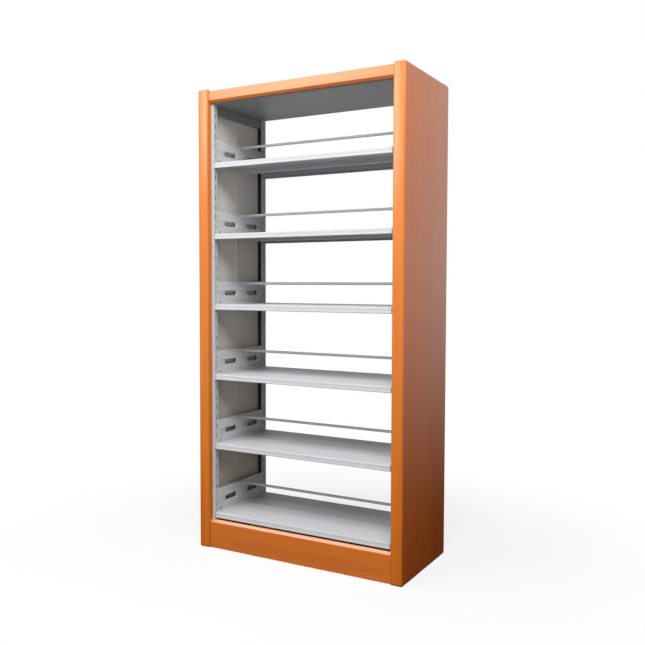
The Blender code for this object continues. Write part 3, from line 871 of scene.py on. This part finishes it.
def zinc_finish(name):
    """Zinc plating with a turned grain and dull spots."""
    finish = Finish(name, {"Metallic": 1})
    place = finish.place()
    grain = finish.noise(place, TURNED_GRAIN, detail=2)
    spots = finish.noise(place, SPOT_GRAIN, detail=3)
    tone = Vector(finishes().bolt_steel)
    finish.drive("Base Color", finish.mix(spots, tone * SPOT_SHADE, tone))
    finish.drive("Roughness", ZINC_ROUGHNESS + grain * TURNED_ROUGHNESS + spots * SPOT_ROUGHNESS)
    finish.bump(grain, strength=0.06, distance=0.0002)
    return finish.material


def plug_finish(name):
    """Moulded black plastic with a fine spark grain."""
    finish = Finish(name, {"Specular IOR Level": 0.4})
    grain = finish.noise(finish.place(), SPARK_GRAIN, detail=2)
    dark, pale = (Vector(finishes().plug_black) * level for level in SPARK_SHADES)
    finish.drive("Base Color", finish.mix(grain, dark, pale))
    finish.drive("Roughness", PLUG_ROUGHNESS + grain * SPARK_ROUGHNESS)
    finish.bump(grain, strength=0.10, distance=0.0002)
    return finish.material


# Operators


class BOOKCASE_OT_end_panels(bpy.types.Operator):
    """Make the wood end panels, with a pocket on the inside for the steel side frame"""

    bl_idname = "bookcase.end_panels"
    bl_label = "End panels"

    def execute(self, context):
        size = sizes()
        gap = size.seat_gap
        panel = block("panel", PANEL_LOW, PANEL_HIGH, size.panel_radius, ARC_STEPS)
        overrun = PANEL_HIGH.x - PANEL_LOW.x
        low = (PANEL_LOW.x - overrun, UPRIGHT_LOW.y - gap, -overrun)
        high = (UPRIGHT_HIGH.x + gap, -UPRIGHT_LOW.y + gap, UPRIGHT_HIGH.z + gap)
        panel = combined(panel, "DIFFERENCE", block("pocket", low, high))
        for side in SIDES:
            nodes = [f"{side}_{part}" for part in PANEL_PARTS]
            mesh = moved(panel, TURNS[side])
            make_piece(f"{side}_end_panel_wood", mesh, upright_cherry(), "cherry_wood", "frame", *nodes)
        return {"FINISHED"}


class BOOKCASE_OT_wood_rails(bpy.types.Operator):
    """Make the wood top rails and plinths, bevelled beside the shelves"""

    bl_idname = "bookcase.wood_rails"
    bl_label = "Top rails and plinths"

    def execute(self, context):
        size = sizes()
        soft = size.rail_radius
        kinds = (("top_rail", False, rail_cherry()), ("plinth", True, plinth_cherry()))
        for kind, bevel_on_top, veneer in kinds:
            low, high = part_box("front_" + kind)
            near, far = (high.z, low.z) if bevel_on_top else (low.z, high.z)
            bevel = size.rail_bevel * (-1 if bevel_on_top else 1)
            corners = [
                (high.y, near, soft),
                (low.y + size.rail_bevel, near, soft),
                (low.y, near + bevel, soft),
                (low.y, far, soft),
                (high.y, far, soft),
            ]
            rail = drawn_bar(kind, corners, low.x, high.x)
            for face in FACES:
                node = f"{face}_{kind}"
                mesh = moved(rail, TURNS[face])
                make_piece(node + "_wood", mesh, veneer, "cherry_wood", "frame", node)
        return {"FINISHED"}


def slot_recipe():
    """Return a tree that cuts a column of round-cornered slots into a channel."""
    slot = ("Slot Width", "Slot Height", "Corner Radius")
    inputs = dict.fromkeys(slot, "Float")
    inputs |= dict.fromkeys(("Cut Start", "Cut End", "First Slot", "Pitch"), "Vector")
    recipe = Recipe("slot_column", {**inputs, "Count": "Int"})
    outline = recipe.rounded_outline(*(recipe.given(label) for label in slot), SLOT_STEPS)
    ends = {"Start": recipe.given("Cut Start"), "End": recipe.given("Cut End")}
    path = recipe.node("GeometryNodeCurvePrimitiveLine", {}, ends)
    sweep = {"Curve": path, "Profile Curve": outline, "Fill Caps": True}
    cutter = recipe.node("GeometryNodeCurveToMesh", {}, sweep)
    column = {
        "Count": recipe.given("Count"),
        "Start Location": recipe.given("First Slot"),
        "Offset": recipe.given("Pitch"),
    }
    spots = recipe.node("GeometryNodeMeshLine", {}, column)
    cutters = recipe.node("GeometryNodeInstanceOnPoints", {}, {"Points": spots, "Instance": cutter})
    solids = recipe.node("GeometryNodeRealizeInstances", {}, {0: cutters})
    settings = {"operation": "DIFFERENCE", "solver": "EXACT"}
    cut = recipe.node("GeometryNodeMeshBoolean", settings, {0: recipe.given("Geometry"), 1: solids})
    return recipe.end(cut)


class BOOKCASE_OT_side_frames(bpy.types.Operator):
    """Make the slotted uprights and ribbed side sheets, and finish the cross rails"""

    bl_idname = "bookcase.side_frames"
    bl_label = "Side frames"

    def execute(self, context):
        tree = slot_recipe()
        for side, side_sign in SIDES.items():
            for face, face_sign in FACES.items():
                self.make_upright(tree, f"{side}_{face}_upright", side_sign, face_sign)
            self.make_side_sheet(f"{side}_side_sheet", side_sign)
            for place in ("upper", "lower"):
                # The cross rails take the darker grey that paints their shade
                dress_node(f"{side}_{place}_cross_rail", steel_coat("top_powder_coat"))
        return {"FINISHED"}

    def make_upright(self, tree, node, side_sign, face_sign):
        """Fold an upright, open to the outside, and cut its slots."""
        size = sizes()
        sheet = size.frame_sheet
        outer, inner = side_sign * UPRIGHT_HIGH.x, side_sign * (UPRIGHT_LOW.x + sheet / 2)
        front, back = -face_sign * (UPRIGHT_LOW.y + sheet / 2), -face_sign * (UPRIGHT_HIGH.y - sheet / 2)
        bend = size.upright_bend
        corners = [(outer, front, 0), (inner, front, bend), (inner, back, bend), (outer, back, 0)]
        channel = folded_sheet(node, corners, sheet, "XY", UPRIGHT_LOW.z, UPRIGHT_HIGH.z)
        # The coat of the uprights paints their inner flanges dark, as shade
        coat = steel_coat("upright_powder_coat")
        values = {
            "Slot Width": size.slot_width,
            "Slot Height": size.slot_height,
            "Corner Radius": size.slot_corner,
            "Cut Start": (-2 * sheet, 0, 0),
            "Cut End": (2 * sheet, 0, 0),
            "First Slot": (inner, (front + back) / 2, SHELF + size.first_slot),
            "Pitch": (0, 0, size.slot_pitch),
            "Count": size.slot_count,
            "Material": coat,
        }
        make_piece(node + "_steel", grow(node, channel, tree, values), coat, "grey_steel", "frame", node)

    def make_side_sheet(self, node, sign):
        """Fold a side sheet, with its flanges outward and its rib inward."""
        size = sizes()
        half = size.thin_sheet / 2
        outer, inner = sign * SHEET_HIGH.x, sign * (SHEET_LOW.x + half)
        edge = SHEET_HIGH.y - half
        rib, proud = size.rib_width / 2, inner - sign * size.rib_height
        crest = rib * RIB_CREST
        bend = size.board_bend
        corners = [
            (outer, -edge, 0),
            (inner, -edge, bend),
            (inner, -rib, bend),
            (proud, -crest, bend),
            (proud, crest, bend),
            (inner, rib, bend),
            (inner, edge, bend),
            (outer, edge, 0),
        ]
        mesh = folded_sheet(node, corners, size.thin_sheet, "XY", SHEET_LOW.z, SHEET_HIGH.z)
        make_piece(node + "_steel", mesh, steel_coat("side_powder_coat"), "grey_steel", "frame", node)


class BOOKCASE_OT_top_and_base(bpy.types.Operator):
    """Finish the top box, the base beams and the bolts"""

    bl_idname = "bookcase.top_and_base"
    bl_label = "Top, base and bolts"

    def execute(self, context):
        # The top box takes the darker grey that paints the shade under the top
        dress_node("top_box", steel_coat("top_powder_coat"))
        for face in FACES:
            dress_node(f"{face}_base_beam", steel_coat("frame_powder_coat"))
        for side in SIDES:
            for place in ("upper", "lower"):
                dress_node(f"{side}_{place}_bolt", finish_named("zinc_plating", zinc_finish))
        return {"FINISHED"}


def bracket_plane():
    """Return the distance of the brackets' mid sheet from the middle of the case."""
    size = sizes()
    return UPRIGHT_LOW.x - size.slide_gap - size.frame_sheet / 2


class BOOKCASE_OT_brackets(bpy.types.Operator):
    """Make the hanging brackets, with their hooks, ledges and holes"""

    bl_idname = "bookcase.brackets"
    bl_label = "Shelf brackets"

    def execute(self, context):
        bracket = self.make_pattern()
        coat = steel_coat("frame_powder_coat")
        for level, rise in LEVELS.items():
            for side in SIDES:
                node = f"{level}_{side}_bracket"
                mesh = moved(bracket, raised(rise) @ TURNS[side])
                make_piece(node + "_steel", mesh, coat, "grey_steel", level, node)
        return {"FINISHED"}

    def hooks(self):
        """Return the lower and upper edge of each hook's neck above the shelf."""
        size = sizes()
        lows = [size.first_slot + step * size.slot_pitch - size.slot_height / 2 for step in HOOK_STEPS]
        return [(low + size.seat_gap, low + size.seat_gap + HOOK_NECK) for low in lows]

    def slot_line(self):
        """Return the distance of the slots from mid depth."""
        return -(UPRIGHT_LOW.y + UPRIGHT_HIGH.y) / 2

    def outline(self):
        """Return the outline of the plate, with the ears that carry the hooks."""
        size = sizes()
        edge, corner = size.bracket_half, size.bracket_corner
        top = BRACKET_TOP - SHELF
        ear_end = self.slot_line() + size.frame_sheet / 2 + HOOK_EAR_MARGIN
        side = [(edge, BRACKET_FOOT)]
        for low, high in self.hooks():
            ear_low, ear_high = low - HOOK_EAR_MARGIN, high + HOOK_EAR_MARGIN
            side += [(edge, ear_low - HOOK_EAR_FLARE), (ear_end, ear_low)]
            side += [(ear_end, ear_high), (edge, ear_high + HOOK_EAR_FLARE)]
        side += arc((edge - corner, top - corner), corner, 0, math.pi / 2, ARC_STEPS)
        return side + [(-across, up) for across, up in reversed(side)]

    def holes(self):
        """Return the outlines of the long holes, the lock holes and the hole for the book stop."""
        size = sizes()
        radius = size.grip_height / 2
        reach = size.grip_length / 2 - radius
        quarter = math.pi / 2
        found = []
        for sign in FACES.values():
            middle = sign * size.grip_offset
            right = arc((middle + reach, size.grip_rise), radius, -quarter, quarter, GRIP_STEPS)
            left = arc((middle - reach, size.grip_rise), radius, quarter, 3 * quarter, GRIP_STEPS)
            found.append(right + left)
            lock = (sign * (size.bracket_half - size.lock_inset), size.lock_rise)
            found.append(circle(lock, size.lock_radius, LOCK_SIDES))
        stop = (0, (ROD_HIGH.z + ROD_LOW.z) / 2 - SHELF)
        found.append(circle(stop, ROD_RADIUS + ROD_PLAY, ROD_HOLE_SIDES))
        return found

    def make_pattern(self):
        """Return the right bracket of a shelf at height 0."""
        size = sizes()
        sheet = size.frame_sheet
        middle = bracket_plane()
        plate = flat_plate("bracket", [self.outline(), *self.holes()], sheet, size.bracket_edge)
        plate.transform(Matrix.Translation((middle, 0, 0)))
        bm = bmesh.new()
        for sign in FACES.values():
            near, far = sorted((sign * LEDGE_START, sign * LEDGE_END))
            low = (middle - sheet / 2 - LEDGE_WIDTH, near, LEDGE_TOP - sheet)
            add_block(bm, low, (middle, far, LEDGE_TOP), size.bracket_edge)
            for neck_low, neck_high in self.hooks():
                self.add_hook(bm, middle, sign * self.slot_line(), neck_low, neck_high)
        return combined(plate, "UNION", mesh_of("bracket_tabs", bm))

    def add_hook(self, bm, root, line, low, high):
        """Add a tab that passes through a slot and drops behind the upright's sheet."""
        sheet = sizes().frame_sheet
        drop_start = UPRIGHT_LOW.x + sheet + HOOK_PLAY
        tip = drop_start + HOOK_LENGTH
        drop = low - HOOK_DROP
        outline = [(root, low), (drop_start, low), (drop_start, drop), (tip, drop), (tip, high), (root, high)]
        faces = (line - sheet / 2, line + sheet / 2)
        close_rings(bm, [[bm.verts.new((along, depth, up)) for along, up in outline] for depth in faces])


def rim_recipe():
    """Return a tree that sweeps a rounded section along the edge of a long hole at each point."""
    hole = ("Hole Length", "Hole Height")
    section = ("Section Width", "Section Depth", "Section Corner")
    recipe = Recipe("hole_rims", dict.fromkeys((*hole, *section, "Setback"), "Float"))
    long, high = (recipe.given(label) for label in hole)
    edge = recipe.rounded_outline(long, high, high * NEARLY_HALF, GRIP_STEPS)
    profile = recipe.rounded_outline(*(recipe.given(label) for label in section), RIM_STEPS)
    rim = recipe.node("GeometryNodeCurveToMesh", {}, {"Curve": edge, "Profile Curve": profile})
    shift = recipe.node("ShaderNodeCombineXYZ", {}, {2: recipe.given("Setback")})
    rim = recipe.node("GeometryNodeTransform", {}, {"Geometry": rim, "Translation": shift})
    upright = {"Geometry": rim, "Rotation": (math.pi / 2, 0, math.pi / 2)}
    return recipe.end_spread(recipe.node("GeometryNodeTransform", {}, upright))


def plug_recipe():
    """Return a tree that sets a copy of a pattern object at each point."""
    recipe = Recipe("lock_plugs", {"Pattern": "Object"})
    pattern = recipe.node("GeometryNodeObjectInfo", {}, {"Object": recipe.given("Pattern")}, "Geometry")
    return recipe.end_spread(pattern)


class BOOKCASE_OT_bracket_trim(bpy.types.Operator):
    """Set the beads, flanges and lock plugs on the brackets"""

    bl_idname = "bookcase.bracket_trim"
    bl_label = "Bracket rims and plugs"

    def execute(self, context):
        size = sizes()
        rims, plugs = rim_recipe(), plug_recipe()
        sections = self.sections()
        pattern = loose_object("plug_pattern", self.make_plug())
        plug = {"Pattern": pattern, "Material": finish_named("black_plug", plug_finish)}
        lock = size.bracket_half - size.lock_inset
        for level, rise in LEVELS.items():
            spots = self.spots(size.grip_offset, rise + size.grip_rise)
            for kind, values in sections.items():
                self.set_trim(f"{level}_hole_{kind}", spots, rims, values, level)
            spots = self.spots(lock, rise + size.lock_rise)
            self.set_trim(level + "_lock_plugs", spots, plugs, plug, level)
        bpy.data.objects.remove(pattern)
        return {"FINISHED"}

    def spots(self, depth, height):
        """Return the points at a depth and height on the four halves of a level's brackets."""
        middle = bracket_plane()
        return [(side * middle, face * depth, height) for side in SIDES.values() for face in FACES.values()]

    def sections(self):
        """Return the settings of the bead round a long hole and of the flange behind it."""
        size = sizes()
        hole = {"Hole Length": size.grip_length, "Hole Height": size.grip_height}
        bead, wall = 2 * size.bead_radius, size.flange_wall
        reach = size.flange_reach + size.frame_sheet / 2
        kinds = {
            "rims": (bead, bead, 0, "frame_powder_coat"),
            # The flanges take a dark coat that paints the shade inside the long holes
            "flanges": (wall, reach, reach / 2, "flange_dark_coat"),
        }
        found = {}
        for kind, (width, depth, setback, coat) in kinds.items():
            found[kind] = {
                **hole,
                "Section Width": width,
                "Section Depth": depth,
                "Section Corner": width * NEARLY_HALF,
                "Setback": setback,
                "Material": steel_coat(coat),
            }
        return found

    def set_trim(self, name, spots, tree, values, level):
        """Make a piece of what a tree sets at each spot."""
        points = bpy.data.meshes.new(name)
        points.from_pydata(spots, [], [])
        make_piece(name, grow(name, points, tree, values), values["Material"], "grey_steel", level)

    def make_plug(self):
        """Return a plug with a dished head on each side of the sheet."""
        size = sizes()
        face = size.frame_sheet / 2
        head = [(face + size.plug_height * rise, size.plug_radius * reach) for rise, reach in PLUG_HEAD]
        return turned_bar("plug", [(face, size.lock_radius - size.seat_gap), *head], PLUG_SIDES)


class BOOKCASE_OT_boards(bpy.types.Operator):
    """Make the folded shelf boards, with a rounded nose, a hemmed lip and pressed lines"""

    bl_idname = "bookcase.boards"
    bl_label = "Shelf boards"

    def execute(self, context):
        board = self.make_pattern()
        # The rear boards take the greyer coat that paints their shadow
        coats = {"front": steel_coat("board_powder_coat"), "rear": steel_coat("rear_board_powder_coat")}
        for level, rise in LEVELS.items():
            for face, coat in coats.items():
                node = f"{level}_{face}_board"
                mesh = moved(board, raised(rise) @ TURNS[face])
                make_piece(node + "_steel", mesh, coat, "pale_steel", node, node)
        return {"FINISHED"}

    def make_pattern(self):
        """Return the front board of a shelf at height 0."""
        size = sizes()
        sheet = size.thin_sheet
        half = sheet / 2
        front, back = BOARD_LOW.y + half, BOARD_HIGH.y - half
        top, bottom = -half, BOARD_LOW.z - SHELF + half
        hem = front + size.hem_flare
        lip = hem + size.hem_step
        step = bottom + size.hem_height
        bend = size.board_bend
        face = [
            (front, bottom, bend),
            (hem, step, half),
            (lip, step + 2 * size.hem_step, half),
            (lip, top, size.nose_radius),
        ]
        corners = [(front + size.front_return, bottom, 0), *face]
        reach = size.crease_width / 2
        for inset in CREASE_INSETS:
            middle = front + inset
            corners += [
                (middle - reach, top, bend),
                (middle, top - size.crease_depth, bend),
                (middle + reach, top, bend),
            ]
        corners += [(back, top, bend), (back, bottom, bend), (back - size.rear_return, bottom, 0)]
        board = folded_sheet("board", corners, sheet, "YZ", BOARD_LOW.x, BOARD_HIGH.x)
        # A tab at each end closes the lip, clear of the ledge that the board lies on
        tab_end = -LEDGE_END - sheet
        tab = [*face, (tab_end, top, 0), (tab_end, bottom, 0)]
        for start in (BOARD_LOW.x, BOARD_HIGH.x - sheet):
            board = combined(board, "UNION", drawn_bar("tab", tab, start, start + sheet))
        return board


class BOOKCASE_OT_book_stops(bpy.types.Operator):
    """Make the round stop bars at mid depth"""

    bl_idname = "bookcase.book_stops"
    bl_label = "Book stops"

    def execute(self, context):
        centre = (ROD_HIGH.x - ROD_NOSE, ROD_RADIUS - ROD_NOSE)
        bar = turned_bar("book_stop", arc(centre, ROD_NOSE, math.pi / 2, 0, ARC_STEPS), ROD_SIDES)
        for level in LEVELS:
            node = level + "_book_stop"
            low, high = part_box(node)
            mesh = moved(bar, raised((low.z + high.z) / 2))
            # The book stops take the darker grey that paints their shade
            make_piece(node + "_steel", mesh, steel_coat("rod_powder_coat"), "grey_steel", level, node)
        return {"FINISHED"}


class BOOKCASE_OT_stage(bpy.types.Operator):
    """Set the floor, the lamps, the white surroundings and the camera"""

    bl_idname = "bookcase.stage"
    bl_label = "Stage"

    def execute(self, context):
        stage = context.scene.bookcase_stage
        context.scene.view_settings.view_transform = "Standard"
        self.make_floor(stage)
        self.make_world(context.scene, stage)
        for name, (setting, *settings) in LAMPS.items():
            self.make_lamp(name, getattr(stage, setting), *settings)
        self.make_camera(context.scene, stage)
        return {"FINISHED"}

    def seen(self, maker):
        """Return 1 for rays that show the surroundings to the camera, directly or in gloss and glass."""
        rays = maker.add("ShaderNodeLightPath").outputs
        names = ("Is Camera Ray", "Is Glossy Ray", "Is Transmission Ray")
        camera, gloss, glass = (Wire(maker, rays[name]) for name in names)
        return maker.math("MAXIMUM", camera, maker.math("MAXIMUM", gloss, glass))

    def make_floor(self, stage):
        """Lay a floor that keeps the shadow of the case and turns white further off."""
        bm = bmesh.new()
        bmesh.ops.create_grid(bm, x_segments=1, y_segments=1, size=stage.floor_size / 2)
        mesh = bpy.data.meshes.new("floor")
        bm.to_mesh(mesh)
        bm.free()
        mesh.transform(raised(-FLOOR_DROP))
        floor = loose_object("floor", mesh)
        material = bpy.data.materials.new("floor_white")
        material.use_nodes = True
        material.node_tree.nodes.clear()
        mesh.materials.append(material)
        maker = NodeMaker(material.node_tree)
        seen = self.seen(maker)
        tone = maker.mix(seen, [stage.floor_bounce] * 3, [stage.floor_tone] * 3)
        matt = maker.node("ShaderNodeBsdfDiffuse", {}, {"Color": tone})
        white = maker.node("ShaderNodeEmission", {}, {"Color": WHITE, "Strength": 1})
        place = maker.place()
        away = maker.vector_math("LENGTH", place, output="Value")
        glow = maker.rise(away, *FLOOR_FADE, stage.floor_glow)
        # The floor under the case has no glow
        limits = {"X": PANEL_HIGH.x, "Y": PANEL_HIGH.y}
        beyond = [
            maker.math("GREATER_THAN", maker.math("ABSOLUTE", maker.part(place, axis)), limit)
            for axis, limit in limits.items()
        ]
        white_share = glow * seen * maker.math("MAXIMUM", *beyond)
        mixed = maker.node("ShaderNodeMixShader", {}, {0: white_share, 1: matt, 2: white})
        maker.add("ShaderNodeOutputMaterial", {}, {"Surface": mixed})

    def make_world(self, scene, stage):
        """Surround the case with white that gives only a little light."""
        world = bpy.data.worlds.new("white_studio")
        world.use_nodes = True
        world.node_tree.nodes.clear()
        scene.world = world
        maker = NodeMaker(world.node_tree)
        dim, white = (
            maker.node("ShaderNodeBackground", {}, {"Color": WHITE, "Strength": strength})
            for strength in (stage.fill, 1)
        )
        mixed = maker.node("ShaderNodeMixShader", {}, {0: self.seen(maker), 1: dim, 2: white})
        maker.add("ShaderNodeOutputWorld", {}, {"Surface": mixed})

    def make_lamp(self, name, watts, size, place, target, in_gloss):
        """Hang a lamp that faces a point."""
        lamp = bpy.data.lights.new(name, "AREA")
        lamp.shape = "RECTANGLE"
        lamp.size, lamp.size_y = size
        lamp.energy = watts
        item = loose_object(name, lamp)
        item.location = place
        aim = Vector(target) - Vector(place)
        item.rotation_euler = aim.to_track_quat("-Z", "Y").to_euler()
        item.visible_glossy = in_gloss

    def make_camera(self, scene, stage):
        """Set the camera by its place and its three angles."""
        camera = bpy.data.cameras.new("camera")
        camera.lens = stage.lens
        camera.sensor_width = SENSOR_WIDTH
        item = loose_object("camera", camera)
        turn, tilt, roll = stage.azimuth, stage.elevation, stage.roll
        back = Vector((math.sin(turn) * math.cos(tilt), -math.cos(turn) * math.cos(tilt), math.sin(tilt)))
        right = Vector((math.cos(turn), math.sin(turn), 0))
        up = back.cross(right)
        across = right * math.cos(roll) + up * math.sin(roll)
        upward = up * math.cos(roll) - right * math.sin(roll)
        place = Matrix((across, upward, back)).transposed().to_4x4()
        place.translation = stage.eye
        item.matrix_world = place
        scene.camera = item


class BOOKCASE_PT_panel(bpy.types.Panel):
    """Sidebar panel of the bookcase"""

    bl_idname = "BOOKCASE_PT_panel"
    bl_label = "Library bookcase"
    bl_space_type = "VIEW_3D"
    bl_region_type = "UI"
    bl_category = "Bookcase"

    def draw(self, context):
        for operator in OPERATORS:
            self.layout.operator(operator.bl_idname)
        for group in GROUPS:
            held = getattr(context.scene, group)
            box = self.layout.box()
            for name in held.bl_rna.properties.keys():
                if name not in ("rna_type", "name"):
                    box.prop(held, name)


OPERATORS = (
    BOOKCASE_OT_end_panels,
    BOOKCASE_OT_wood_rails,
    BOOKCASE_OT_side_frames,
    BOOKCASE_OT_top_and_base,
    BOOKCASE_OT_brackets,
    BOOKCASE_OT_bracket_trim,
    BOOKCASE_OT_boards,
    BOOKCASE_OT_book_stops,
    BOOKCASE_OT_stage,
)
GROUPS = {
    "bookcase_sizes": BookcaseSizes,
    "bookcase_finishes": BookcaseFinishes,
    "bookcase_stage": BookcaseStage,
}


def register():
    """Register the property groups, operators and panel."""
    for name, group in GROUPS.items():
        bpy.utils.register_class(group)
        setattr(bpy.types.Scene, name, PointerProperty(type=group))
    for item in (*OPERATORS, BOOKCASE_PT_panel):
        bpy.utils.register_class(item)


def unregister():
    """Undo register()."""
    for item in (BOOKCASE_PT_panel, *reversed(OPERATORS)):
        bpy.utils.unregister_class(item)
    for name, group in reversed(GROUPS.items()):
        delattr(bpy.types.Scene, name)
        bpy.utils.unregister_class(group)


def main():
    """Make every piece and the stage."""
    register()
    for operator in OPERATORS:
        group, name = operator.bl_idname.split(".")
        getattr(getattr(bpy.ops, group), name)()


if __name__ == "__main__":
    main()
